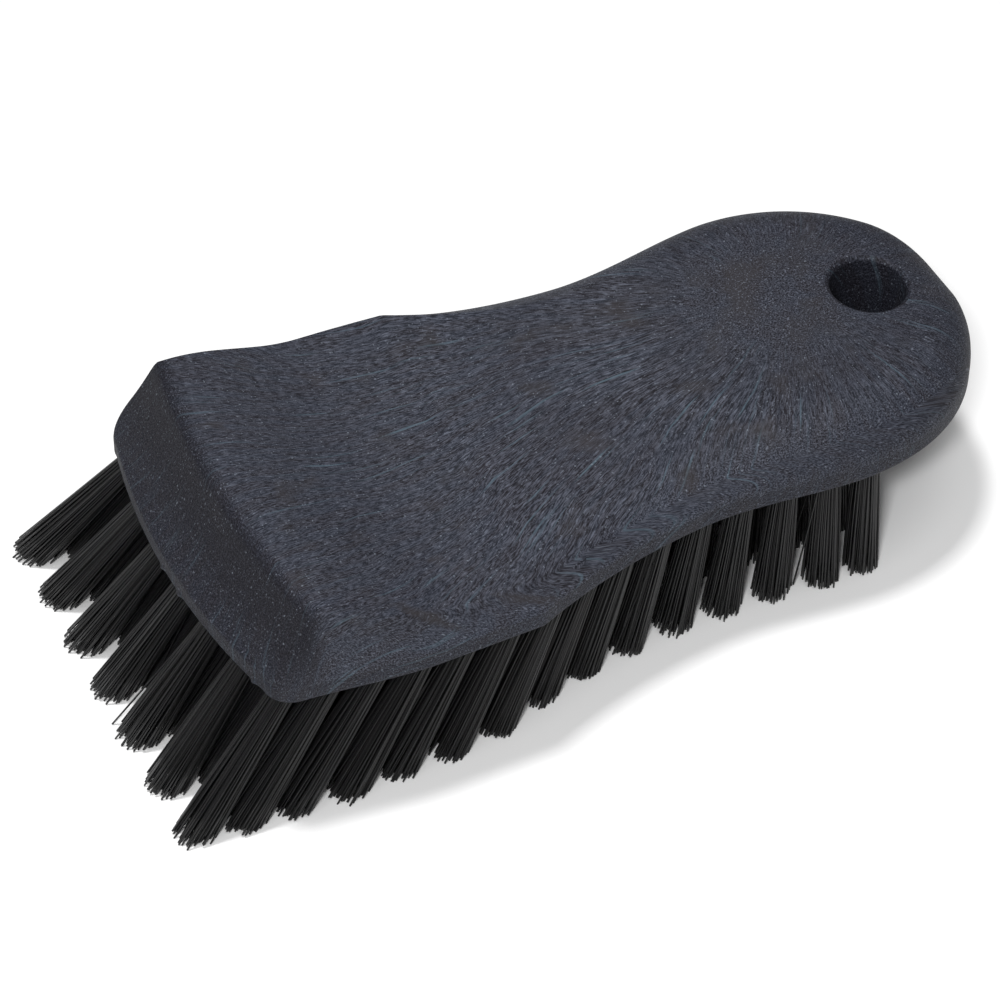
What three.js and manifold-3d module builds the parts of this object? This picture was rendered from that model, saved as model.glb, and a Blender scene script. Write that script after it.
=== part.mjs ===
// Hand-held wheel and scrub brush: a one-piece moulded block with a hang hole,
// drilled from below for rows of stiff filament tufts that are raked forward at the head.
// Millimetres. Model axes while building: x runs from the front corners of the block (0) to the
// tail, y across, z up, with every tuft trimmed to the plane z = 0. The last lines move the
// origin to the centre of the base of the bounding box.
import * as THREE from "three";
import { mergeVertices } from "three/addons/utils/BufferGeometryUtils.js";
import Module from "manifold-3d";

// ---- driving dimensions: block ------------------------------------------------------------
const BLOCK_LENGTH = 152;
const TRIM = 27; // free length of the tufts, and so the height of the block's underside
const FRONT_HALF_WIDTH = 35.8;
const HEAD_HALF_WIDTH = 38.8;
const WAIST_HALF_WIDTH = 29.8;
const PALM_HALF_WIDTH = 32.7;
const HEAD_FLARE = 30; // length over which the head widens behind its front corners
const SHOULDER_X = 51.9; // where the straight sides of the head break into the waist
const WAIST_RUN = 53.4;
const WAIST_POWER = 2.4; // how quickly the sides fall in behind the shoulder
const PALM_WIDENING = [85, 118];
const TAIL_ROUND = 37.4; // length over which the tail's outline closes
const TAIL_POWER = 2.35; // 2 would make the tail an ellipse
const FRONT_BOW = 3.6; // how far the front edge bulges ahead of its corners
const CORNER_RADIUS = 5; // plan radius of the front corners
const HEAD_SKEW = 1.1; // the right side of the head's features sits this far behind their middle
const SHOULDER_SKEW = 2.5; // the same for the break between head and waist

const FRONT_THICKNESS = 18.1;
const SADDLE_THICKNESS = 9.5; // dip that the fingers wrap over
const PALM_THICKNESS = 13.5;
const TAIL_THICKNESS = 12;
const SADDLE_SLOPE = [6.8, 37.8]; // start and end of the fall from the front ridge to the saddle
const PALM_SLOPE = [61.8, 123.9];
const TAIL_SLOPE = [115, 150];
const RIM_HEIGHT = 3.7; // upright edge above the underside
const FRONT_BEVEL = 9.4;
const FRONT_COVE = 0.5; // share of hollow in the front bevel
const SIDE_BEVEL = 2.8;
const PALM_ROUND = 11.5; // edge radius of the palm swell
const PALM_BLEND = [30.4, 123]; // where the head's bevels turn into that radius
const HANG_HOLE_RADIUS = 7;
const HANG_HOLE_X = 135.1;

// ---- driving dimensions: tufts ------------------------------------------------------------
const TUFT_COLUMNS = 15;
const FIRST_COLUMN_X = 6;
const COLUMN_PITCH = 8.15;
const BOWED_COLUMNS = 6; // columns that follow the front edge's bow, less and less
const ACROSS_PITCH = 10;
const EDGE_INSET = 5.5; // hole centre to block edge
const DRILL_RADIUS = 2.5;
const DRILL_DEPTH = 7;
const ROOT_RADIUS = 2.2;
const TIP_RADIUS = 3.4;
const MINGLED_SHARE = 0.58; // half width at the tip of an inner tuft, as a share of the tip spacing
const FULL_RAKE = 19.8; // how far ahead of their column the front tufts' tips land
const RAKE_SLOPE = 0.21;
const UPRIGHT_X = 112.7; // the rake dies out here
const SIDE_SPLAY = 0.046; // outward travel of a tip per millimetre from the centre line
const FRONT_FAN = 0.21; // extra splay at the very front
const FRONT_SWEEP = 5.8; // sideways set of the front tufts, from use
const FRONT_ZONE = 25;
const ANCHOR_SIZE = [0.5, 3.9, 1.6]; // flat wire staple: thickness, length, width
const ANCHOR_DEPTH = 2.6; // below the blind end of its hole
const CLEARANCE = 0.3;

// ---- facets -------------------------------------------------------------------------------
const DRILL_SIDES = 8;
const HANG_HOLE_SIDES = 32;
const GRID_ALONG = 54;
const GRID_ACROSS = 26;
const RIDGE_BLUR = 0.16; // rounding along the bevels' upper ridges, as a share of a bevel
const CORNER_BLUR = [0.12, 0.3]; // rounding where two bevels meet: at the head, at the palm
const MARGIN = 5; // how far a cutting tool reaches past the surface

// ---- small maths --------------------------------------------------------------------------
const { clamp, lerp, smoothstep } = THREE.MathUtils;

function softMin(a, b, softness) {
  const share = clamp(0.5 + (0.5 * (b - a)) / softness, 0, 1);
  return lerp(b, a, share) - softness * share * (1 - share);
}

// How far a quarter circle of this radius has fallen back at a distance from its tangent edge.
function roundedCorner(distance, radius) {
  const share = clamp(1 - distance / radius, 0, 1);
  return radius * (1 - Math.sqrt(1 - share ** 2));
}

// ---- block shape --------------------------------------------------------------------------
// acrossShare runs from -1 at the left side to 1 at the right side.
function halfWidth(x, acrossShare = 0) {
  const head = lerp(FRONT_HALF_WIDTH, HEAD_HALF_WIDTH, smoothstep(x, 0, HEAD_FLARE));
  const beyond = clamp((x - SHOULDER_SKEW * acrossShare - SHOULDER_X) / WAIST_RUN, 0, 1);
  const waist = lerp(WAIST_HALF_WIDTH, head, (1 - beyond) ** WAIST_POWER);
  const palm = (PALM_HALF_WIDTH - WAIST_HALF_WIDTH) * smoothstep(x, ...PALM_WIDENING);
  const intoTail = clamp((x - (BLOCK_LENGTH - TAIL_ROUND)) / TAIL_ROUND, 0, 1);
  return (waist + palm - roundedCorner(x, CORNER_RADIUS)) * Math.sqrt(1 - intoTail ** TAIL_POWER);
}

function frontEdge(acrossShare) {
  return -FRONT_BOW * (1 - acrossShare ** 2);
}

function thickness(x) {
  const head = lerp(FRONT_THICKNESS, SADDLE_THICKNESS, smoothstep(x, ...SADDLE_SLOPE));
  const palm = lerp(head, PALM_THICKNESS, smoothstep(x, ...PALM_SLOPE));
  return lerp(palm, TAIL_THICKNESS, smoothstep(x, ...TAIL_SLOPE));
}

// Height of the block's upper surface above its underside.
function crownHeight(x, y, acrossShare) {
  const palmShare = smoothstep(x, ...PALM_BLEND);
  const fromSide = (halfWidth(x, acrossShare) - Math.abs(y)) / lerp(SIDE_BEVEL, PALM_ROUND, palmShare);
  const upBevel = (x - frontEdge(acrossShare)) / (FRONT_BEVEL + HEAD_SKEW * acrossShare);
  const fromFront = lerp(upBevel, upBevel ** 2, FRONT_COVE);
  const fromTail = (BLOCK_LENGTH - x) / PALM_ROUND;
  const blur = lerp(...CORNER_BLUR, palmShare);
  const inward = clamp(softMin(softMin(fromSide, fromFront, blur), fromTail, blur), 0, 1);
  const bevelled = clamp(softMin(inward, 1, RIDGE_BLUR), 0, 1);
  const rounded = Math.sqrt(1 - (1 - inward) ** 2);
  return RIM_HEIGHT + (thickness(x) - RIM_HEIGHT) * lerp(bevelled, rounded, palmShare);
}

// A point of the upper surface, by its share of the way to the tail and across.
function surfacePoint(alongShare, acrossShare) {
  const bowShare = (1 - alongShare) ** 3;
  const x = frontEdge(acrossShare) * bowShare + alongShare * BLOCK_LENGTH;
  const y = acrossShare * halfWidth(x, acrossShare);
  return new THREE.Vector3(x, y, TRIM + crownHeight(x, y, acrossShare));
}

// Shares that crowd towards both ends, where the surface turns over.
function crowded(steps, crowding) {
  const shares = [];
  for (let i = 0; i <= steps; i++) {
    const even = i / steps;
    shares.push(lerp(even, (1 - Math.cos(Math.PI * even)) / 2, crowding));
  }
  return shares;
}

// The upper surface as a grid, an upright wall below its outline, and a flat underside.
function blockGeometry() {
  const points = [];
  const triangles = [];
  const rows = crowded(GRID_ALONG, 0.75);
  const columns = crowded(GRID_ACROSS, 1).map((share) => 2 * share - 1);
  const across = columns.length;
  const top = (i, j) => i * across + j;
  for (const u of rows) for (const v of columns) points.push(surfacePoint(u, v));
  for (let i = 0; i + 1 < rows.length; i++) {
    for (let j = 0; j + 1 < across; j++) {
      triangles.push([top(i, j), top(i + 1, j), top(i + 1, j + 1)]);
      triangles.push([top(i, j), top(i + 1, j + 1), top(i, j + 1)]);
    }
  }
  const loop = [];
  for (let i = 0; i < rows.length; i++) loop.push(top(i, 0));
  for (let i = rows.length - 2; i >= 0; i--) loop.push(top(i, across - 1));
  for (let j = across - 2; j > 0; j--) loop.push(top(0, j));
  const firstLow = points.length;
  for (const k of loop) points.push(points[k].clone().setZ(TRIM));
  loop.forEach((high, k) => {
    const next = (k + 1) % loop.length;
    triangles.push([high, firstLow + k, firstLow + next]);
    triangles.push([high, firstLow + next, loop[next]]);
  });
  const outline = loop.map((k) => new THREE.Vector2(points[k].x, points[k].y));
  for (const [a, b, c] of THREE.ShapeUtils.triangulateShape(outline, [])) {
    triangles.push([firstLow + a, firstLow + c, firstLow + b]);
  }
  const geometry = new THREE.BufferGeometry();
  const coordinates = points.flatMap((point) => [...point]);
  geometry.setAttribute("position", new THREE.Float32BufferAttribute(coordinates, 3));
  geometry.setIndex(triangles.flat());
  return geometry;
}

// ---- solids that can be joined and cut ----------------------------------------------------
const wasm = await Module();
wasm.setup();

function toSolid(source) {
  const geometry = source.clone();
  geometry.deleteAttribute("normal");
  geometry.deleteAttribute("uv");
  const merged = mergeVertices(geometry, 1e-5);
  const index = merged.index.array;
  const kept = [];
  for (let t = 0; t < index.length; t += 3) {
    const [a, b, c] = [index[t], index[t + 1], index[t + 2]];
    if (a !== b && b !== c && c !== a) kept.push(a, b, c);
  }
  const vertProperties = new Float32Array(merged.attributes.position.array);
  const triVerts = new Uint32Array(kept);
  return new wasm.Manifold(new wasm.Mesh({ numProp: 3, vertProperties, triVerts }));
}

function toGeometry(solid) {
  const { vertProperties, triVerts } = solid.getMesh();
  const geometry = new THREE.BufferGeometry();
  geometry.setAttribute("position", new THREE.BufferAttribute(vertProperties, 3));
  geometry.setIndex(new THREE.BufferAttribute(triVerts, 1));
  geometry.computeVertexNormals();
  return geometry;
}

// A turned body on the z axis from pairs of radius and height, lowest first.
function turned(profile, sides) {
  const outline = [[0, profile[0][1]], ...profile, [0, profile.at(-1)[1]]];
  const points = outline.map(([radius, height]) => new THREE.Vector2(radius, height));
  return new THREE.LatheGeometry(points, sides).rotateX(Math.PI / 2);
}

// ---- tufts --------------------------------------------------------------------------------
// Where the tip of a tuft lands: the tips of a column keep a straight line.
function tipPlace(lineX, y) {
  const nearFront = Math.max(0, 1 - lineX / FRONT_ZONE);
  const rake = clamp(RAKE_SLOPE * (UPRIGHT_X - lineX), 0, FULL_RAKE);
  const skew = (HEAD_SKEW * nearFront * y) / HEAD_HALF_WIDTH;
  const splay = SIDE_SPLAY + FRONT_FAN * nearFront;
  return { tipX: lineX - rake + skew, tipY: y * (1 + splay) + FRONT_SWEEP * nearFront, splay };
}

// Holes and tips, column by column from the front, each from the left side to the right.
function tuftPlaces() {
  const columns = [];
  for (let column = 0; column < TUFT_COLUMNS; column++) {
    const lineX = FIRST_COLUMN_X + column * COLUMN_PITCH;
    const reach = halfWidth(lineX) - EDGE_INSET;
    const gaps = Math.round((2 * reach) / ACROSS_PITCH);
    const bow = Math.max(0, 1 - column / BOWED_COLUMNS);
    const places = [];
    for (let k = 0; k <= gaps; k++) {
      const y = lerp(-reach, reach, k / gaps);
      const x = lineX + bow * frontEdge(y / halfWidth(lineX));
      const edge = column === 0 || column === TUFT_COLUMNS - 1 || k === 0 || k === gaps;
      places.push({ x, y, column, k, edge, pitch: (2 * reach) / gaps, ...tipPlace(lineX, y) });
    }
    columns.push(places);
  }
  return columns;
}

// Slides every horizontal slice so that the axis runs from the tip, through the hole, and on up.
function leaned(geometry, { x, y, tipX, tipY }) {
  const [leanX, leanY] = [(x - tipX) / TRIM, (y - tipY) / TRIM];
  const shear = new THREE.Matrix4();
  shear.set(1, 0, leanX, tipX, 0, 1, leanY, tipY, 0, 0, 1, 0, 0, 0, 0, 1);
  return geometry.applyMatrix4(shear);
}

// An inner tuft is mingled with its neighbours in the column: its tip is as wide as their spacing.
function tuftGeometry(place, mingled = false) {
  const top = TRIM + DRILL_DEPTH - CLEARANCE;
  const geometry = turned([[TIP_RADIUS, 0], [ROOT_RADIUS, TRIM - 1], [ROOT_RADIUS, top]], DRILL_SIDES);
  if (mingled) {
    const position = geometry.attributes.position;
    const spread = (MINGLED_SHARE * place.pitch * (1 + place.splay)) / TIP_RADIUS;
    for (let i = 0; i < position.count; i++) {
      if (position.getZ(i) < 1) position.setY(i, position.getY(i) * spread);
    }
  }
  return leaned(geometry, place);
}

function drillGeometry(place) {
  const profile = [[DRILL_RADIUS, TRIM - 1], [DRILL_RADIUS, TRIM + DRILL_DEPTH]];
  return leaned(turned(profile, DRILL_SIDES), place);
}

// ---- anchors ------------------------------------------------------------------------------
const ANCHOR_HEIGHT = TRIM + DRILL_DEPTH - ANCHOR_DEPTH;

// A flat wire staple lies across the hole inside the folded end of its tuft.
function anchorGeometry(place) {
  return leaned(new THREE.BoxGeometry(...ANCHOR_SIZE).translate(0, 0, ANCHOR_HEIGHT), place);
}

// The slot that the staple leaves through its tuft.
function slotGeometry(place) {
  const [thick, long, wide] = ANCHOR_SIZE;
  const slot = new THREE.BoxGeometry(thick + 2 * CLEARANCE, long + MARGIN, wide + 2 * CLEARANCE);
  return leaned(slot.translate(0, 0, ANCHOR_HEIGHT), place);
}

// ---- assembly -----------------------------------------------------------------------------
const assembly = new THREE.Group();
const materials = {
  block: { color: 0x3b3e48, roughness: 0.55, metalness: 0 },
  filament: { color: 0x18181a, roughness: 0.45, metalness: 0 },
  anchor: { color: 0x9a9a9c, roughness: 0.35, metalness: 1 },
};

function addPiece(name, geometry, material) {
  const mesh = new THREE.Mesh(geometry, new THREE.MeshStandardMaterial(materials[material]));
  mesh.name = name;
  assembly.add(mesh);
}

const columns = tuftPlaces();
const twoDigits = (number) => String(number).padStart(2, "0");

function buildBlock() {
  let block = toSolid(blockGeometry());
  for (const place of columns.flat()) block = block.subtract(toSolid(drillGeometry(place)));
  const [low, high] = [TRIM - MARGIN, TRIM + PALM_THICKNESS + MARGIN];
  const hangHole = turned([[HANG_HOLE_RADIUS, low], [HANG_HOLE_RADIUS, high]], HANG_HOLE_SIDES);
  return toGeometry(block.subtract(toSolid(hangHole.translate(HANG_HOLE_X, 0, 0))));
}

function edgeTuftName({ column, k }) {
  if (k === 0) return `tuft_left_${twoDigits(column + 1)}`;
  if (k === columns[column].length - 1) return `tuft_right_${twoDigits(column + 1)}`;
  return column === 0 ? `tuft_front_${k + 1}` : `tuft_rear_${k + 1}`;
}

function buildFrontTuft(place) {
  return toGeometry(toSolid(tuftGeometry(place)).subtract(toSolid(slotGeometry(place))));
}

function buildInnerRow(places) {
  const [first, ...rest] = places.map((place) => toSolid(tuftGeometry(place, true)));
  return toGeometry(rest.reduce((row, tuft) => row.add(tuft), first));
}

addPiece("block", buildBlock(), "block");
for (const place of columns[0]) {
  addPiece(edgeTuftName(place), buildFrontTuft(place), "filament");
  addPiece(`anchor_front_${place.k + 1}`, anchorGeometry(place), "anchor");
}
for (const place of columns.slice(1).flat()) {
  if (place.edge) addPiece(edgeTuftName(place), toGeometry(toSolid(tuftGeometry(place))), "filament");
}
for (const places of columns.slice(1, -1)) {
  const inner = places.filter((place) => !place.edge);
  addPiece(`tuft_row_${twoDigits(inner[0].column + 1)}`, buildInnerRow(inner), "filament");
}

const box = new THREE.Box3().setFromObject(assembly);
const centre = box.getCenter(new THREE.Vector3());
assembly.position.set(-centre.x, -centre.y, -box.min.z);

export default assembly;
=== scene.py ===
"""Wheel brush: the looks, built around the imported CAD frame.

Shapes are worked out in millimetres in the block's own axes (x from the front corners to the
tail, y across, z up from the plane of the tips) and moved into the frame by place().
"""
import math
from collections import namedtuple

import bpy
import numpy as np
from mathutils import Matrix, Vector
from mathutils.geometry import tessellate_polygon


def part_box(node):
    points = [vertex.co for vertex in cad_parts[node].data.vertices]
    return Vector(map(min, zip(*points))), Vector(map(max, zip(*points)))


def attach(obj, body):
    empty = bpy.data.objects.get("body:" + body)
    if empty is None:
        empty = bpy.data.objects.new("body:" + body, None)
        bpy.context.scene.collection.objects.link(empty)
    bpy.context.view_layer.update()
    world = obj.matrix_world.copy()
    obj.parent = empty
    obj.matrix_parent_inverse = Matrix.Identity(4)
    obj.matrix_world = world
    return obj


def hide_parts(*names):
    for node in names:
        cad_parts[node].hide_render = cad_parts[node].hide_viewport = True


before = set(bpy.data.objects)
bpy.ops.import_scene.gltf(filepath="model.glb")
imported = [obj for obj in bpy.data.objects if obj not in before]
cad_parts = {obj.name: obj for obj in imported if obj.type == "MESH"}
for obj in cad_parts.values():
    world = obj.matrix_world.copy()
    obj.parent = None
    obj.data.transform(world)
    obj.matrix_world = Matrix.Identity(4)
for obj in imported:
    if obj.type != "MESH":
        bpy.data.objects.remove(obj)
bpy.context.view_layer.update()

MM = 0.001

# ---- driving dimensions of the block, millimetres ----------------------------------------------
BLOCK_LENGTH = 152.0
FRONT_HALF_WIDTH = 35.8
HEAD_HALF_WIDTH = 38.8
WAIST_HALF_WIDTH = 29.8
PALM_HALF_WIDTH = 32.7
HEAD_FLARE = 30.0          # length over which the head widens behind its front corners
SHOULDER_X = 51.9          # where the straight sides of the head break into the waist
WAIST_RUN = 53.4
WAIST_POWER = 2.4
PALM_WIDENING = (85.0, 118.0)
TAIL_ROUND = 37.4
TAIL_POWER = 2.35
FRONT_BOW = 3.6
CORNER_RADIUS = 5.0
HEAD_SKEW = 1.1            # the right side of the head's features sits this far behind their middle
SHOULDER_SKEW = 2.5        # the same for the break between head and waist
FRONT_THICKNESS = 18.1
SADDLE_THICKNESS = 9.5
PALM_THICKNESS = 13.5
TAIL_THICKNESS = 12.0
SADDLE_SLOPE = (6.8, 37.8)
PALM_SLOPE = (61.8, 123.9)
TAIL_SLOPE = (115.0, 150.0)
RIM_HEIGHT = 3.7
FRONT_BEVEL = 9.4
FRONT_COVE = 0.5           # share of hollow in the front bevel
SIDE_BEVEL = 2.8
PALM_ROUND = 11.5
PALM_BLEND = (30.4, 123.0)
UNDER_ROUND = 0.9          # radius between the rim and the underside
RIM_ROLL = 0.05            # how softly the bevels leave the rim
RIDGE_BLUR = 0.16          # rounding along the bevels' upper ridges, as a share of a bevel
CORNER_BLUR = (0.12, 0.3)  # rounding where two bevels meet, at the head and at the palm
HANG_HOLE_RADIUS = 7.0
HANG_HOLE_X = 135.1
HOLE_LIP = 1.2             # radius of the hang hole's rounded upper lip
LOWER_LIP_SHARE = 0.3      # size of its lower lip beside the upper one
HOLE_DRAFT = 1.3           # how much narrower the bore is at the underside, on the radius

# ---- driving dimensions of the tufts, millimetres ----------------------------------------------
TUFT_COLUMNS = 15
FIRST_COLUMN_X = 6.0
COLUMN_PITCH = 8.15
BOWED_COLUMNS = 6
ACROSS_PITCH = 10.0
EDGE_INSET = 5.5
DRILL_RADIUS = 2.5
DRILL_DEPTH = 7.0
DRILL_BREAK = (0.25, 0.3)  # broken edge of a hole's mouth: how much wider, how deep
FULL_RAKE = 19.8           # how far ahead of their column the front tufts' tips land
RAKE_SLOPE = 0.21
UPRIGHT_X = 112.7
SIDE_SPLAY = 0.046
FRONT_FAN = 0.21
FRONT_SWEEP = 5.8
FRONT_ZONE = 25.0
ANCHOR_SIZE = (0.5, 3.9, 1.6)
ANCHOR_DEPTH = 2.6         # below the blind end of its hole
DRILL_SIDES = 20

FILAMENT_RADIUS = 0.185
FILAMENTS_PER_TUFT = 130
BUNDLE_RADIUS = 2.3        # at the mouth of the hole
ROOT_SQUEEZE = 0.8         # radius of the bundle inside the hole, as a share of that
HEAD_TIP_RADIUS = 4.2      # of a tuft's spread at its tip
TAIL_TIP_RADIUS = 3.5

# ---- frame -----------------------------------------------------------------------------------
BLOCK_LOW, BLOCK_HIGH = (np.array(corner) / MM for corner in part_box("block"))
TRIM = BLOCK_LOW[2]        # height of the underside, and the free length of the tufts
ORIGIN = np.array([BLOCK_LOW[0] + FRONT_BOW, (BLOCK_LOW[1] + BLOCK_HIGH[1]) / 2, 0.0])


def place(points):
    """Block axes in millimetres to the frame in metres."""
    return (np.asarray(points, float) + ORIGIN) * MM


# ---- camera and light ------------------------------------------------------------------------
CAMERA_AZIMUTH = -27.7
CAMERA_ELEVATION = 45.7
CAMERA_ROLL = 0.98
CAMERA_DISTANCE = 744.0
CAMERA_LENS = 152.4
SENSOR_WIDTH = 36.0
AIM = (56.3, -8.25)        # where the view's centre meets the plane of the underside

WORLD_STRENGTH = 0.2
LAMP_DISTANCE = 1.2        # metres
Lamp = namedtuple("Lamp", "name azimuth elevation size power")
LAMPS = (
    Lamp("key", -36, 48, 0.14, 6.6),
    Lamp("back", 206, 81.5, 0.16, 7.4),
    Lamp("overhead", 10, 74, 0.6, 2.8),
)


def view_axes(azimuth, elevation):
    """Right, up and back unit vectors of a level camera."""
    a, e = math.radians(azimuth), math.radians(elevation)
    back = Vector((math.sin(a) * math.cos(e), -math.cos(a) * math.cos(e), math.sin(e)))
    right = Vector((math.cos(a), math.sin(a), 0))
    return right, back.cross(right), back


def make_camera():
    data = bpy.data.cameras.new("camera")
    data.lens = CAMERA_LENS
    data.sensor_width = SENSOR_WIDTH
    data.clip_start, data.clip_end = 0.01, 20
    camera = bpy.data.objects.new("camera", data)
    bpy.context.collection.objects.link(camera)
    right, up, back = view_axes(CAMERA_AZIMUTH, CAMERA_ELEVATION)
    roll = math.radians(CAMERA_ROLL)
    rolled_right = right * math.cos(roll) + up * math.sin(roll)
    rolled_up = up * math.cos(roll) - right * math.sin(roll)
    camera.location = Vector(place([AIM[0], AIM[1], TRIM])) + back * CAMERA_DISTANCE * MM
    camera.rotation_euler = Matrix((rolled_right, rolled_up, back)).transposed().to_euler()
    bpy.context.scene.camera = camera


def make_area_light(lamp):
    data = bpy.data.lights.new(lamp.name, "AREA")
    data.energy = lamp.power
    data.size = lamp.size
    made = bpy.data.objects.new(lamp.name, data)
    bpy.context.collection.objects.link(made)
    _, _, back = view_axes(lamp.azimuth, lamp.elevation)
    made.location = back * LAMP_DISTANCE
    made.rotation_euler = back.to_track_quat("Z", "Y").to_euler()


def make_studio():
    world = bpy.data.worlds.new("studio")
    bpy.context.scene.world = world
    world.use_nodes = True
    background = world.node_tree.nodes["Background"]
    background.inputs["Color"].default_value = (1, 1, 1, 1)
    background.inputs["Strength"].default_value = WORLD_STRENGTH
    for lamp in LAMPS:
        make_area_light(lamp)
    bpy.context.scene.view_settings.view_transform = "Standard"


# ---- small node language ---------------------------------------------------------------------
class Shader:
    """Builds a material's nodes; every method returns an output socket."""

    def __init__(self, name):
        self.material = bpy.data.materials.new(name)
        self.material.use_nodes = True
        self.tree = self.material.node_tree
        self.surface = self.tree.nodes["Principled BSDF"]

    def put(self, socket, value):
        if isinstance(value, bpy.types.NodeSocket):
            self.tree.links.new(value, socket)
        else:
            socket.default_value = value

    def node(self, kind, inputs=(), **settings):
        node = self.tree.nodes.new(kind)
        for key, value in settings.items():
            setattr(node, key, value)
        for key, value in dict(inputs).items():
            self.put(node.inputs[key], value)
        return node

    def math(self, operation, a, b=0.0, c=0.0):
        return self.node("ShaderNodeMath", {0: a, 1: b, 2: c}, operation=operation).outputs[0]

    def largest(self, first, *others):
        for other in others:
            first = self.math("MAXIMUM", first, other)
        return first

    def product(self, first, *others):
        for other in others:
            first = self.math("MULTIPLY", first, other)
        return first

    def vector(self, operation, a, b=(0, 0, 0)):
        node = self.node("ShaderNodeVectorMath", {0: a, 1: b}, operation=operation)
        return node.outputs["Value" if operation == "LENGTH" else "Vector"]

    def remap(self, value, low, high, to_low=0.0, to_high=1.0):
        inputs = {"Value": value, "From Min": low, "From Max": high, "To Min": to_low, "To Max": to_high}
        return self.node("ShaderNodeMapRange", inputs, interpolation_type="SMOOTHSTEP").outputs[0]

    def noise(self, vector, scale, detail=2.0, roughness=0.5):
        inputs = {"Vector": vector, "Scale": scale, "Detail": detail, "Roughness": roughness}
        return self.node("ShaderNodeTexNoise", inputs).outputs["Fac"]

    def mix(self, share, a, b):
        """Colours a and b mixed; input 6 and 7 and output 2 are the colour sockets."""
        node = self.tree.nodes.new("ShaderNodeMix")
        node.data_type = "RGBA"
        self.put(node.inputs["Factor"], share)
        self.put(node.inputs[6], a)
        self.put(node.inputs[7], b)
        return node.outputs[2]

    def combine(self, x, y, z=0.0):
        return self.node("ShaderNodeCombineXYZ", {0: x, 1: y, 2: z}).outputs[0]

    def separate(self, vector):
        return self.node("ShaderNodeSeparateXYZ", {0: vector}).outputs

    def bump(self, height, strength, distance):
        inputs = {"Height": height, "Strength": strength, "Distance": distance}
        return self.node("ShaderNodeBump", inputs).outputs[0]


def srgb(red, green, blue):
    """An 8-bit screen colour as the linear colour a shader takes."""
    def linear(value):
        value /= 255
        return value / 12.92 if value <= 0.04045 else ((value + 0.055) / 1.055) ** 2.4
    return (linear(red), linear(green), linear(blue), 1.0)


# ---- block material --------------------------------------------------------------------------
GATE = (131.0, 6.0)        # unrolled place that the moulding's streaks run out from, millimetres
GATE_REACH = (4.0, 34.0)   # within here the streaks lose their order
BROWN, TEAL = srgb(38, 35, 41), srgb(46, 51, 63)     # the moulding's two tints
# dark tint of the felted finish, also laid on as painted shade over the front bevel and towards the tail
FELT_AND_SHADE_TINT = srgb(20, 18, 26)
GRAIN_DARK, GRAIN_LIGHT = srgb(8, 8, 14), srgb(89, 92, 104)
RIBBON_TINT = srgb(84, 102, 114)
CALM_TINT = srgb(50, 47, 49)
FIBRE_TINT = srgb(109, 114, 128)
GLINT_TINT = srgb(140, 148, 160)


def polar_streaks(shader, plane, across, along, seed, detail=2.0):
    """Grain drawn out along lines from the gate, at the same width near and far.

    The angle is scaled by a power of two of the radius, and two neighbouring powers cross-fade."""
    from_gate = shader.vector("SUBTRACT", plane, (*GATE, 0))
    radius = shader.vector("LENGTH", from_gate)
    x, y, _ = shader.separate(from_gate)
    angle = shader.math("ARCTAN2", y, x)
    octave = shader.math("LOGARITHM", shader.math("MAXIMUM", radius, 2.0), 2.0)
    whole = shader.math("FLOOR", octave)
    share = shader.math("SUBTRACT", octave, whole)
    layers = []
    for step in (0, 1):
        width = shader.math("POWER", 2.0, shader.math("ADD", whole, float(step)))
        side = shader.math("MULTIPLY", shader.math("MULTIPLY", angle, width), across)
        depth = shader.math("ADD", shader.math("MULTIPLY", whole, 7.3), seed + 7.3 * step)
        spot = shader.combine(shader.math("MULTIPLY", radius, along), side, depth)
        layers.append(shader.noise(spot, 1.0, detail, 0.6))
    low = shader.math("MULTIPLY", layers[0], shader.math("SUBTRACT", 1.0, share))
    return shader.math("MULTIPLY_ADD", layers[1], share, low)


def warp(shader, plane, scale, reach):
    """The plane pushed about by a soft noise."""
    inputs = {"Vector": plane, "Scale": scale, "Detail": 1.0}
    push = shader.node("ShaderNodeTexNoise", inputs).outputs["Color"]
    centred = shader.vector("SUBTRACT", push, (0.5, 0.5, 0.5))
    return shader.vector("ADD", plane, shader.vector("MULTIPLY", centred, (reach, reach, 0)))


def sparkle(shader, plane, cell, size, seed):
    """Tiny bright fibre ends, one to a cell and few of them strong."""
    inputs = {"Vector": shader.vector("ADD", plane, (seed, seed, 0)), "Scale": 1 / cell}
    voronoi = shader.node("ShaderNodeTexVoronoi", inputs, voronoi_dimensions="2D")
    random = shader.separate(voronoi.outputs["Color"])
    spot = shader.remap(voronoi.outputs["Distance"], size * 0.3 / cell, size / cell, 1.0, 0.0)
    return shader.math("MULTIPLY", spot, shader.math("POWER", random[0], 8.0))


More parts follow.
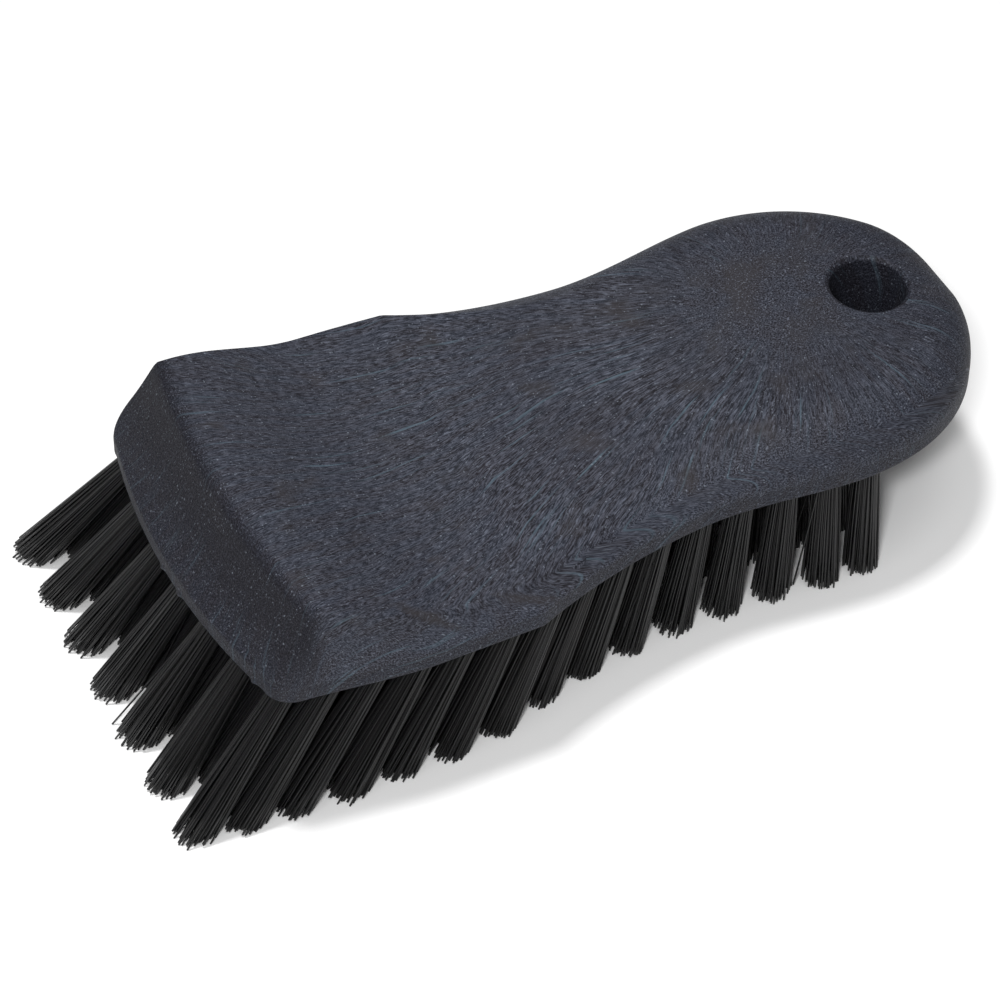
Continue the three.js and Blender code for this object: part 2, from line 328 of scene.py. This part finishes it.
def block_material():
    """Dark plastic with drawn-out fibres; where the felt-and-shade attribute is high the fibres lie
    felted and the colour is darkened, partly a felted finish and partly painted shade.
    """
    shader = Shader("fibrous_moulded_plastic")
    uv = shader.node("ShaderNodeUVMap", uv_map="unrolled").outputs[0]
    border = shader.node("ShaderNodeAttribute", attribute_name="border").outputs["Fac"]
    felt_and_shade = shader.node("ShaderNodeAttribute", attribute_name="felt_and_shade").outputs["Fac"]
    plane = shader.vector("MULTIPLY", uv, (BLOCK_LENGTH, BLOCK_LENGTH, 0))
    flow = warp(shader, warp(shader, plane, 0.02, 14), 0.12, 0.9)

    # how loosely the fibres lie: felted, at the border and near the gate
    beside_gate = shader.vector("LENGTH", shader.vector("SUBTRACT", flow, (*GATE, 0)))
    at_gate = shader.remap(beside_gate, *GATE_REACH, 1.0, 0.0)
    off_gate = shader.math("SUBTRACT", 1.0, at_gate)
    unordered = shader.largest(felt_and_shade, border, shader.product(at_gate, 0.8))
    loose = shader.remap(unordered, 0.15, 0.8, 0.2, 0.9)

    # layers from fine to coarse: grain, single fibres, ribbons and clusters of them, smooth patches
    felted = shader.noise(warp(shader, plane, 0.7, 0.6), 3.2, 2.0, 0.6)
    drawn = polar_streaks(shader, flow, 4.5, 0.7, 3.0, 2.0)
    grain = shader.mix(loose, drawn, felted)
    strokes = shader.remap(polar_streaks(shader, flow, 3.6, 0.5, 57.0, 1.0), 0.57, 0.72)
    curls = shader.remap(shader.noise(warp(shader, plane, 0.9, 1.6), 3.0, 1.0), 0.60, 0.70)
    clusters = shader.mix(at_gate, polar_streaks(shader, flow, 0.5, 0.06, 11.0, 3.0),
                          shader.noise(flow, 0.2, 3.0))
    ribbons = shader.remap(polar_streaks(shader, flow, 1.2, 0.05, 31.0, 1.0), 0.60, 0.74)
    patches = shader.noise(warp(shader, flow, 0.3, 4.0), 0.1, 1.0)
    calm = shader.remap(shader.math("MULTIPLY_ADD", at_gate, 0.12, patches), 0.56, 0.82)

    # the same layers as colour, the finest last
    tinted = shader.mix(shader.remap(clusters, 0.40, 0.60), BROWN, TEAL)
    # painted shade, partly a felted finish: the front bevel and the tail are darkened towards the dark
    # felt tint, with fewer light grains
    base = shader.mix(shader.product(felt_and_shade, 0.9), tinted, FELT_AND_SHADE_TINT)
    dark = shader.mix(0.62, base, GRAIN_DARK)
    light = shader.mix(shader.remap(felt_and_shade, 0.0, 1.0, 0.6, 0.12), base, GRAIN_LIGHT)
    grained = shader.mix(shader.remap(grain, 0.40, 0.64), dark, light)
    open_share = shader.math("SUBTRACT", 1.0, shader.product(felt_and_shade, 0.8))
    ribbon_share = shader.product(ribbons, open_share, off_gate, 0.65)
    ribboned = shader.mix(ribbon_share, grained, RIBBON_TINT)
    calmed = shader.mix(shader.product(calm, open_share, 0.85), ribboned, CALM_TINT)
    fibre = shader.product(shader.mix(loose, strokes, curls), shader.remap(felt_and_shade, 0.4, 1.0, 0.6, 0.25))
    stroked = shader.mix(fibre, calmed, FIBRE_TINT)
    glint = shader.largest(sparkle(shader, flow, 0.7, 0.16, 5.0), sparkle(shader, flow, 1.9, 0.24, 37.0))
    colour = shader.mix(shader.product(glint, 0.5), stroked, GLINT_TINT)

    shader.put(shader.surface.inputs["Base Color"], colour)
    shader.put(shader.surface.inputs["Roughness"], shader.remap(grain, 0.3, 0.7, 0.66, 0.52))
    orange_peel = shader.noise(warp(shader, plane, 0.4, 2.0), 1.1, 2.0)
    peel = shader.math("MULTIPLY", orange_peel, shader.remap(border, 0.2, 0.8, 0.2, 1.2))
    height = shader.math("MULTIPLY_ADD", grain, 0.9, peel)
    shader.put(shader.surface.inputs["Normal"], shader.bump(height, 0.55, 0.0003))
    shader.put(shader.surface.inputs["Specular IOR Level"], 0.16)
    return shader.material


def filament_material():
    shader = Shader("black_filament")
    tone = shader.node("ShaderNodeAttribute", attribute_name="tone").outputs["Fac"]
    spot = shader.node("ShaderNodeTexCoord").outputs["Object"]
    drawn = shader.noise(shader.vector("MULTIPLY", spot, (2600, 2600, 300)), 1.0, 1.0)
    shade = shader.math("MULTIPLY_ADD", drawn, 0.25, shader.math("MULTIPLY", tone, 0.75))
    shader.put(shader.surface.inputs["Base Color"],
               shader.mix(shade, srgb(6, 6, 7), srgb(27, 27, 28)))
    shader.put(shader.surface.inputs["Roughness"], shader.remap(tone, 0.0, 1.0, 0.44, 0.3))
    shader.put(shader.surface.inputs["Specular IOR Level"], 0.4)
    return shader.material


def wire_material():
    shader = Shader("drawn_flat_wire")
    spot = shader.node("ShaderNodeTexCoord").outputs["Object"]
    lines = shader.noise(shader.vector("MULTIPLY", spot, (400, 400, 9000)), 1.0, 3.0)
    shader.put(shader.surface.inputs["Base Color"],
               shader.mix(lines, srgb(120, 120, 122), srgb(190, 190, 192)))
    shader.put(shader.surface.inputs["Metallic"], 1.0)
    shader.put(shader.surface.inputs["Roughness"], shader.remap(lines, 0.3, 0.7, 0.28, 0.45))
    return shader.material


def floor_material():
    shader = Shader("white_sweep")
    spot = shader.node("ShaderNodeTexCoord").outputs["Object"]
    shader.put(shader.surface.inputs["Base Color"],
               shader.mix(shader.noise(spot, 3.0), (0.93, 0.93, 0.93, 1), (0.95, 0.95, 0.95, 1)))
    shader.put(shader.surface.inputs["Roughness"], 0.9)
    return shader.material


# ---- block shape -----------------------------------------------------------------------------
FULL_GRID, QUICK_GRID = (350, 180), (160, 90)        # points along and across the upper surface
END_CROWDING = 0.85        # how far the rows are drawn towards the front and the tail


def lerp(a, b, share):
    return a + (b - a) * share


def smoothstep(x, low, high):
    share = np.clip((x - low) / (high - low), 0, 1)
    return share * share * (3 - 2 * share)


def soft_min(a, b, softness):
    share = np.clip(0.5 + 0.5 * (b - a) / softness, 0, 1)
    return lerp(b, a, share) - softness * share * (1 - share)


def rounded_corner(distance, radius):
    """How far a quarter circle has fallen back at a distance from its tangent edge."""
    share = np.clip(1 - distance / radius, 0, 1)
    return radius * (1 - np.sqrt(1 - share ** 2))


def half_width(x, across=0.0):
    """Across runs from -1 at the left side to 1 at the right side."""
    head = lerp(FRONT_HALF_WIDTH, HEAD_HALF_WIDTH, smoothstep(x, 0, HEAD_FLARE))
    beyond = np.clip((x - SHOULDER_SKEW * across - SHOULDER_X) / WAIST_RUN, 0, 1)
    waist = lerp(WAIST_HALF_WIDTH, head, (1 - beyond) ** WAIST_POWER)
    palm = (PALM_HALF_WIDTH - WAIST_HALF_WIDTH) * smoothstep(x, *PALM_WIDENING)
    into_tail = np.clip((x - (BLOCK_LENGTH - TAIL_ROUND)) / TAIL_ROUND, 0, 1)
    return (waist + palm - rounded_corner(x, CORNER_RADIUS)) * np.sqrt(1 - into_tail ** TAIL_POWER)


def front_edge(across):
    return -FRONT_BOW * (1 - across ** 2)


def up_front_bevel(x, across):
    """0 at the front edge, 1 at the front bevel's upper ridge."""
    return (x - front_edge(across)) / (FRONT_BEVEL + HEAD_SKEW * across)


def thickness(x):
    head = lerp(FRONT_THICKNESS, SADDLE_THICKNESS, smoothstep(x, *SADDLE_SLOPE))
    palm = lerp(head, PALM_THICKNESS, smoothstep(x, *PALM_SLOPE))
    return lerp(palm, TAIL_THICKNESS, smoothstep(x, *TAIL_SLOPE))


def inward_share(x, y, across):
    """0 on the outline, growing to 1 where the bevels and edge radii end."""
    palm = smoothstep(x, *PALM_BLEND)
    from_side = (half_width(x, across) - np.abs(y)) / lerp(SIDE_BEVEL, PALM_ROUND, palm)
    up_bevel = up_front_bevel(x, across)
    from_front = lerp(up_bevel, up_bevel ** 2, FRONT_COVE)
    from_tail = (BLOCK_LENGTH - x) / PALM_ROUND
    blur = lerp(*CORNER_BLUR, palm)
    return np.clip(soft_min(soft_min(from_side, from_front, blur), from_tail, blur), 0, 1)


def crown_height(x, y, across):
    palm = smoothstep(x, *PALM_BLEND)
    inward = inward_share(x, y, across)
    rolled = np.sqrt((inward ** 2 + 2 * RIM_ROLL * inward) / (1 + 2 * RIM_ROLL))
    bevelled = np.clip(soft_min(rolled, np.ones_like(rolled), RIDGE_BLUR), 0, 1)
    rounded = np.sqrt(1 - (1 - inward) ** 2)
    return RIM_HEIGHT + (thickness(x) - RIM_HEIGHT) * lerp(bevelled, rounded, palm)


def surface_grid(along_count, across_count):
    """The upper surface as a grid of points, front to tail by side to side."""
    u = np.linspace(0, 1, along_count)
    u = lerp(u, (1 - np.cos(np.pi * u)) / 2, END_CROWDING)
    v = np.sin(np.linspace(-np.pi / 2, np.pi / 2, across_count))
    u, v = np.meshgrid(u, v, indexing="ij")
    x = front_edge(v) * (1 - u) ** 3 + u * BLOCK_LENGTH
    y = v * half_width(x, v)
    return np.stack([x, y, TRIM + crown_height(x, y, v)], -1)


def unrolled_plane(grid):
    """Flat coordinates in millimetres that follow the surface over its bevels."""
    along = np.linalg.norm(np.diff(grid, axis=0), axis=2)
    along = np.vstack([np.zeros((1, grid.shape[1])), np.cumsum(along, axis=0)])
    across = np.linalg.norm(np.diff(grid, axis=1), axis=2)
    across = np.hstack([np.zeros((grid.shape[0], 1)), np.cumsum(across, axis=1)])
    across -= across[:, -1:] / 2
    return np.stack([along, across], -1)


class MeshParts:
    """Collects points, faces and a flat coordinate for each point."""

    def __init__(self):
        self.points, self.flat, self.faces, self.count = [], [], [], 0

    def add_points(self, points, flat):
        first = self.count
        self.points.append(np.asarray(points, float))
        self.flat.append(np.asarray(flat, float))
        self.count += len(points)
        return np.arange(first, self.count)

    def bridge(self, low, high):
        """Quads between two closed rings of the same length."""
        for k in range(len(low)):
            n = (k + 1) % len(low)
            self.faces.append((low[k], low[n], high[n], high[k]))

    def make(self, name, materials=()):
        points = place(np.vstack(self.points))
        flat = np.vstack(self.flat) / BLOCK_LENGTH
        mesh = bpy.data.meshes.new(name)
        mesh.from_pydata(points.tolist(), [], [tuple(int(i) for i in f) for f in self.faces])
        layer = mesh.uv_layers.new(name="unrolled")
        index = np.zeros(len(mesh.loops), int)
        mesh.loops.foreach_get("vertex_index", index)
        layer.data.foreach_set("uv", flat[index].ravel())
        mesh.polygons.foreach_set("use_smooth", np.ones(len(mesh.polygons), bool))
        for material in materials:
            mesh.materials.append(material)
        mesh.validate()
        made = bpy.data.objects.new(name, mesh)
        bpy.context.collection.objects.link(made)
        return made


def outline_ring(grid):
    """Grid positions of the block's outline, anticlockwise from above."""
    rows, columns = grid.shape[:2]
    ring = [(i, 0) for i in range(rows)]
    ring += [(i, columns - 1) for i in range(rows - 2, -1, -1)]
    ring += [(0, j) for j in range(columns - 2, 0, -1)]
    return ring


def inward_normals(ring):
    step = np.roll(ring, -1, axis=0) - np.roll(ring, 1, axis=0)
    normal = np.stack([-step[:, 1], step[:, 0]], -1)
    return normal / np.maximum(np.linalg.norm(normal, axis=1, keepdims=True), 1e-9)


# ---- tufts -----------------------------------------------------------------------------------
Tuft = namedtuple("Tuft", "x y tip_x tip_y")


def tip_place(line_x, y):
    """The tips of a column keep a straight line, ahead of their holes."""
    near_front = max(0.0, 1 - line_x / FRONT_ZONE)
    rake = min(max(RAKE_SLOPE * (UPRIGHT_X - line_x), 0.0), FULL_RAKE)
    skew = HEAD_SKEW * near_front * y / HEAD_HALF_WIDTH
    splay = SIDE_SPLAY + FRONT_FAN * near_front
    return line_x - rake + skew, y * (1 + splay) + FRONT_SWEEP * near_front


def tuft_columns():
    """Tufts column by column from the front, each column from the left side to the right."""
    columns = []
    for column in range(TUFT_COLUMNS):
        line_x = FIRST_COLUMN_X + column * COLUMN_PITCH
        width = float(half_width(line_x))
        reach = width - EDGE_INSET
        gaps = round(2 * reach / ACROSS_PITCH)
        bow = max(0.0, 1 - column / BOWED_COLUMNS)
        columns.append([Tuft(line_x + bow * front_edge(y / width), y, *tip_place(line_x, y))
                        for y in np.linspace(-reach, reach, gaps + 1)])
    return columns


def axis_point(tuft, height):
    """Where the tuft's axis is at a height above the tips, inside its hole too."""
    share = height / TRIM
    return np.array([lerp(tuft.tip_x, tuft.x, share), lerp(tuft.tip_y, tuft.y, share)])


def unit_ring(sides):
    angle = np.linspace(0, 2 * np.pi, sides, endpoint=False)
    return np.stack([np.cos(angle), np.sin(angle)], -1)


def hole_ring(tuft, radius, height):
    ring = axis_point(tuft, height) + radius * unit_ring(DRILL_SIDES)
    return np.hstack([ring, np.full((DRILL_SIDES, 1), height)])


# ---- block -----------------------------------------------------------------------------------
FLASH_NUBS = ((-4.5, 0.8, 0.6), (2.5, 0.6, 0.45), (-28.5, 0.7, 0.5))   # across, half width, reach
FLASH_HEIGHT, FLASH_FALL = 0.8, 0.6    # above the underside, and how fast a nub fades from there
RIM_STEPS = (0.75, 0.5, 0.38)          # rows down the rim's wall, as shares of its height
UNDER_STEPS = 6                        # rows round the rim's lower radius
CUTTER_SIDES, CUTTER_STEPS = 96, 8     # of the hang hole: round it, and round each lip
LIP_CROSSING = 0.03                    # how far a lip crosses the surface that it leaves


def flash(ring_xy):
    """How far small nubs of moulding flash stand out from the front's lower edge."""
    reach = np.zeros(len(ring_xy))
    for across, width, size in FLASH_NUBS:
        reach += size * np.exp(-((ring_xy[:, 1] - across) / width) ** 2) * (ring_xy[:, 0] < 1)
    return reach


def add_blind_hole(parts, tuft):
    """A drilled hole with a slightly broken edge; returns the ring in the underside."""
    wider, deep = DRILL_BREAK
    profile = [(DRILL_RADIUS + wider, 0), (DRILL_RADIUS, deep), (DRILL_RADIUS, DRILL_DEPTH)]
    rings = []
    for radius, up in profile:
        ring = hole_ring(tuft, radius, TRIM + up)
        rings.append(parts.add_points(ring, ring[:, :2]))
    for low, high in zip(rings, rings[1:]):
        parts.bridge(low, high)
    parts.faces.append(tuple(rings[-1]))
    return rings[0]


def add_underside(parts, rim, columns):
    loops = [rim] + [add_blind_hole(parts, tuft) for tufts in columns for tuft in tufts]
    points = np.vstack(parts.points)
    loop_points = [[Vector(points[k]) for k in loop] for loop in loops]
    order = np.concatenate(loops)
    for a, b, c in tessellate_polygon(loop_points):
        corners = points[order[[a, b, c]]]
        turn = np.cross(corners[1] - corners[0], corners[2] - corners[0])[2]
        triangle = (order[a], order[b], order[c]) if turn < 0 else (order[a], order[c], order[b])
        parts.faces.append(triangle)


def add_finish(made):
    """Point attributes for the material: border, and felt with painted shade.

    Border is 1 on the outline, the underside and the hang hole's wall, and 0 on the open top.
    Felt-and-shade is where the fibres lie in all directions and the colour is darkened: on the front
    bevel, strongest high on it and fading out past its ridge, partly felted finish and partly painted
    shade where the hollow bevel turns from the light; less at the tail, where it is also partly painted
    shade."""
    points = np.zeros(len(made.data.vertices) * 3)
    made.data.vertices.foreach_get("co", points)
    x, y, z = (points.reshape(-1, 3) / MM - ORIGIN).T
    inward = inward_share(x, y, np.clip(y / np.maximum(half_width(x), 1), -1, 1))
    border = np.where(z < TRIM + RIM_HEIGHT - 0.01, 1.0, 1 - inward)
    from_hole = np.hypot(x - HANG_HOLE_X, y) - HANG_HOLE_RADIUS
    border = np.maximum(border, 1 - smoothstep(from_hole, 0, HOLE_LIP))
    made.data.attributes.new("border", "FLOAT", "POINT").data.foreach_set("value", border)
    up_bevel = up_front_bevel(x, y / HEAD_HALF_WIDTH)
    # painted shade with the felt: strongest high on the hollow front bevel, where it turns from the
    # light, and fading out past its ridge
    on_front = (1 - smoothstep(up_bevel, 0.85, 1.5)) * smoothstep(HEAD_HALF_WIDTH - np.abs(y), 1.0, 5.0)
    bevel = on_front * lerp(0.75, 1.1, smoothstep(up_bevel, 0.2, 0.8))
    # partly painted shade: darker towards the tail
    tail = 0.3 * smoothstep(x, 85, 110) + 0.3 * smoothstep(x, HANG_HOLE_X - 12, BLOCK_LENGTH)
    felt_and_shade = np.maximum(np.maximum(bevel, tail), np.where(z < TRIM + RIM_HEIGHT, 0.6, 0.0))
    made.data.attributes.new("felt_and_shade", "FLOAT", "POINT").data.foreach_set("value", felt_and_shade)


def hang_hole_cutter():
    """The hang hole as a solid whose ends flare out and just cross the surfaces they leave."""
    angle = np.linspace(0, 2 * np.pi, CUTTER_SIDES, endpoint=False)
    ring = unit_ring(CUTTER_SIDES)
    parts = MeshParts()
    rings = []

    def wall_flat(height):
        """The wall's own unrolled coordinates: round the hole, and up it."""
        return np.stack([HANG_HOLE_X + angle * HANG_HOLE_RADIUS, height], -1)

    arc = np.linspace(0, np.pi / 2, CUTTER_STEPS)
    flare = [(HOLE_LIP * (1 - np.cos(a)), HOLE_LIP * (1 - np.sin(a)) - LIP_CROSSING) for a in arc]
    lower = [(HANG_HOLE_RADIUS - HOLE_DRAFT + out * LOWER_LIP_SHARE, TRIM + drop * LOWER_LIP_SHARE)
             for out, drop in reversed(flare)]
    lower.insert(0, (lower[0][0], TRIM - 2))
    for radius, height in lower:
        spot = np.hstack([ring * radius + [HANG_HOLE_X, 0], np.full((CUTTER_SIDES, 1), height)])
        rings.append(parts.add_points(spot, wall_flat(spot[:, 2])))
    for out, drop in flare + [(flare[-1][0], -3)]:
        xy = ring * (HANG_HOLE_RADIUS + out) + [HANG_HOLE_X, 0]
        top = TRIM + crown_height(xy[:, 0], xy[:, 1], xy[:, 1] / half_width(xy[:, 0]))
        spot = np.hstack([xy, (top - drop)[:, None]])
        rings.append(parts.add_points(spot, wall_flat(top - drop)))
    for low, high in zip(rings, rings[1:]):
        parts.bridge(low, high)
    parts.faces.append(tuple(reversed(rings[0])))
    parts.faces.append(tuple(rings[-1]))
    return parts.make("hang_hole_cutter")


def add_upper_surface(parts, grid, flat):
    """The grid's faces; its last row is one point, at the tail."""
    rows, across = grid.shape[:2]
    index = parts.add_points(grid.reshape(-1, 3), flat.reshape(-1, 2)).reshape(rows, across)
    index[-1, :] = index[-1, 0]
    for i in range(rows - 1):
        for j in range(across - 1):
            if i == rows - 2:
                parts.faces.append((index[i, j], index[i + 1, j], index[i, j + 1]))
            else:
                parts.faces.append((index[i, j], index[i + 1, j], index[i + 1, j + 1], index[i, j + 1]))
    return index


def add_rim(parts, grid, flat, index):
    """The wall under the outline and the radius below it; returns the underside's ring."""
    ring = outline_ring(grid)
    ring_xy = np.array([grid[i, j, :2] for i, j in ring])
    ring_flat = np.array([flat[i, j] for i, j in ring])
    normal = inward_normals(ring_xy)
    arc = np.linspace(0, np.pi / 2, UNDER_STEPS)
    profile = [(0, RIM_HEIGHT * share) for share in RIM_STEPS]
    profile += [(UNDER_ROUND * (1 - np.cos(a)), UNDER_ROUND * (1 - np.sin(a))) for a in arc]
    previous = np.array([index[i, j] for i, j in ring])
    for inset, height in profile:
        outward = (flash(ring_xy) * math.exp(-((height - FLASH_HEIGHT) / FLASH_FALL) ** 2))[:, None]
        spot = np.hstack([ring_xy + normal * (inset - outward), np.full((len(ring), 1), TRIM + height)])
        current = parts.add_points(spot, ring_flat - normal * (RIM_HEIGHT - height + inset))
        parts.bridge(current, previous)
        previous = current
    return previous


def cut_hang_hole(block):
    cutter = hang_hole_cutter()
    add_finish(cutter)
    cut = block.modifiers.new("hang_hole", "BOOLEAN")
    cut.operation, cut.object, cut.solver = "DIFFERENCE", cutter, "EXACT"
    depsgraph = bpy.context.evaluated_depsgraph_get()
    cut_mesh = bpy.data.meshes.new_from_object(block.evaluated_get(depsgraph))
    block.modifiers.clear()
    block.data = cut_mesh
    bpy.data.objects.remove(cutter)


def build_block(material, columns):
    grid = surface_grid(*FULL_GRID)
    flat = unrolled_plane(grid)
    parts = MeshParts()
    index = add_upper_surface(parts, grid, flat)
    add_underside(parts, add_rim(parts, grid, flat, index), columns)
    block = parts.make("block_body", [material])
    add_finish(block)
    cut_hang_hole(block)
    return block


# ---- filaments -------------------------------------------------------------------------------
SPREAD_FALL = (15.0, 60.0)  # the tufts behind here are spread less
FILAMENT_SIDES = 5
FILAMENT_RINGS = 7
ROOT_HEIGHT = 4.0          # how far up the hole the modelled filaments start
TIP_SCATTER = 0.17
STRAY_SHARE, STRAY_GROWTH = 0.02, 8    # share of the tips that scatter further, and how much further
TRIM_SCATTER = 0.35        # how unevenly the tips are cut
SHORT_SHARE, SHORT_REACH = 0.03, (0.5, 2.0)          # share of the tips that end higher, and how much
BEND = 0.12


def sunflower(count):
    """Evenly packed places in a unit disc."""
    k = np.arange(count) + 0.5
    angle = k * math.pi * (3 - math.sqrt(5))
    return np.stack([np.cos(angle), np.sin(angle)], -1) * np.sqrt(k / count)[:, None]


def filament_paths(tuft, random):
    """Centre lines of one tuft, filaments by rings by xyz."""
    count = FILAMENTS_PER_TUFT
    packed = sunflower(count)
    share = np.linspace(0, 1, FILAMENT_RINGS)[None, :, None]
    root = axis_point(tuft, TRIM + ROOT_HEIGHT) + packed * BUNDLE_RADIUS * ROOT_SQUEEZE
    mouth = axis_point(tuft, TRIM) + packed * BUNDLE_RADIUS
    scatter = random.normal(0, TIP_SCATTER, (count, 2))
    stray = random.random(count) < STRAY_SHARE
    scatter[stray] *= STRAY_GROWTH
    spread = lerp(HEAD_TIP_RADIUS, TAIL_TIP_RADIUS, smoothstep(tuft.x, *SPREAD_FALL))
    spread *= random.uniform(0.93, 1.07)
    tip = axis_point(tuft, 0) + packed * spread + scatter
    trim = np.abs(random.normal(0, TRIM_SCATTER, count))
    trim[random.random(count) < SHORT_SHARE] += random.uniform(*SHORT_REACH)
    top = TRIM + ROOT_HEIGHT
    height = top + (trim[:, None, None] - top) * share
    fall = (TRIM - height) / TRIM
    inside = np.clip(-fall * TRIM / ROOT_HEIGHT, 0, 1)
    below = np.clip(fall, 0, 1)
    flat = lerp(lerp(mouth[:, None], tip[:, None], below), root[:, None], inside)
    bend = random.normal(0, BEND, (count, 1, 2))
    return np.concatenate([flat + bend * np.sin(np.pi * below), height], -1)


def tube_mesh(paths, random):
    """Thin closed tubes along many paths at once: points, faces and a tone for each point."""
    count, rings, _ = paths.shape
    run = np.gradient(paths, axis=1)
    run /= np.linalg.norm(run, axis=2, keepdims=True)
    side = np.cross(run, [0.0, 1.0, 0.0])
    side /= np.linalg.norm(side, axis=2, keepdims=True)
    other = np.cross(run, side)
    start = random.uniform(0, 2 * np.pi, (count, 1, 1, 1))
    angle = start + np.linspace(0, 2 * np.pi, FILAMENT_SIDES, endpoint=False)[None, None, :, None]
    radius = FILAMENT_RADIUS * random.uniform(0.92, 1.08, (count, 1, 1, 1))
    outward = np.cos(angle) * side[:, :, None] + np.sin(angle) * other[:, :, None]
    points = paths[:, :, None] + radius * outward
    index = np.arange(count * rings * FILAMENT_SIDES).reshape(count, rings, FILAMENT_SIDES)
    ahead = np.roll(index, -1, axis=2)
    quads = np.stack([index[:, :-1], ahead[:, :-1], ahead[:, 1:], index[:, 1:]], -1).reshape(-1, 4)
    caps = np.concatenate([index[:, 0, ::-1], index[:, -1]])
    tone = np.repeat(random.random(count) ** 1.4, rings * FILAMENT_SIDES)
    return points.reshape(-1, 3), quads, caps, tone


def mesh_from_tubes(name, tufts, material, seed):
    """One object that holds the filaments of the given tufts."""
    random = np.random.default_rng(seed)
    points, quads, caps, tones, first = [], [], [], [], 0
    for tuft in tufts:
        p, q, c, t = tube_mesh(filament_paths(tuft, random), random)
        points.append(p)
        quads.append(q + first)
        caps.append(c + first)
        tones.append(t)
        first += len(p)
    faces = np.vstack(quads).tolist() + np.vstack(caps).tolist()
    mesh = bpy.data.meshes.new(name)
    mesh.from_pydata(place(np.vstack(points)).tolist(), [], faces)
    mesh.polygons.foreach_set("use_smooth", np.ones(len(mesh.polygons), bool))
    mesh.attributes.new("tone", "FLOAT", "POINT").data.foreach_set("value", np.concatenate(tones))
    mesh.materials.append(material)
    made = bpy.data.objects.new(name, mesh)
    bpy.context.collection.objects.link(made)
    return made


def tuft_groups(columns):
    """CAD node names with the hole centres that each stands for."""
    groups = {}
    for column, places in enumerate(columns):
        last = len(places) - 1
        ends = column in (0, TUFT_COLUMNS - 1)
        for k, spot in enumerate(places):
            if k in (0, last):
                name = f"tuft_{'left' if k == 0 else 'right'}_{column + 1:02d}"
            elif ends:
                name = f"tuft_{'front' if column == 0 else 'rear'}_{k + 1}"
            else:
                name = f"tuft_row_{column + 1:02d}"
            groups.setdefault(name, []).append(spot)
    return groups


def add_filaments(columns, material):
    for seed, (node, tufts) in enumerate(tuft_groups(columns).items()):
        bundle = mesh_from_tubes(node.replace("tuft", "filaments"), tufts, material, seed)
        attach(bundle, "root")
        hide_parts(node)


# ---- anchors ---------------------------------------------------------------------------------
def add_anchors(columns, material):
    """The flat wire staples of every hole behind the front column, as one piece."""
    thick, long, wide = ANCHOR_SIZE
    middle = TRIM + DRILL_DEPTH - ANCHOR_DEPTH
    flat, edge = 0.3 * thick, 0.5 * wide - 0.2 * thick
    section = [(0.5 * thick, -edge), (0.5 * thick, edge), (flat, 0.5 * wide), (-flat, 0.5 * wide),
               (-0.5 * thick, edge), (-0.5 * thick, -edge), (-flat, -0.5 * wide), (flat, -0.5 * wide)]
    parts = MeshParts()
    for tuft in sum(columns[1:], []):
        ends = []
        for y in (-0.5 * long, 0.5 * long):
            ring = [[*(axis_point(tuft, middle + up) + (x, y)), middle + up] for x, up in section]
            ends.append(parts.add_points(ring, np.array(ring)[:, :2]))
        parts.bridge(ends[1], ends[0])
        parts.faces.append(tuple(ends[0]))
        parts.faces.append(tuple(reversed(ends[1])))
    made = parts.make("anchors_behind_front", [material])
    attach(made, "root")


# ---- stage -----------------------------------------------------------------------------------
FLOOR_SIZE = 6.0           # metres


def make_floor():
    bpy.ops.mesh.primitive_plane_add(size=FLOOR_SIZE)
    floor = bpy.context.object
    floor.name = "floor"
    floor.data.materials.append(floor_material())


make_camera()
make_studio()
make_floor()
COLUMNS = tuft_columns()
block = build_block(block_material(), COLUMNS)
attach(block, "root")
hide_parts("block")
add_filaments(COLUMNS, filament_material())
WIRE = wire_material()
add_anchors(COLUMNS, WIRE)
for name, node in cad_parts.items():
    if name.startswith("anchor_"):
        for slot in node.material_slots:
            slot.material = WIRE
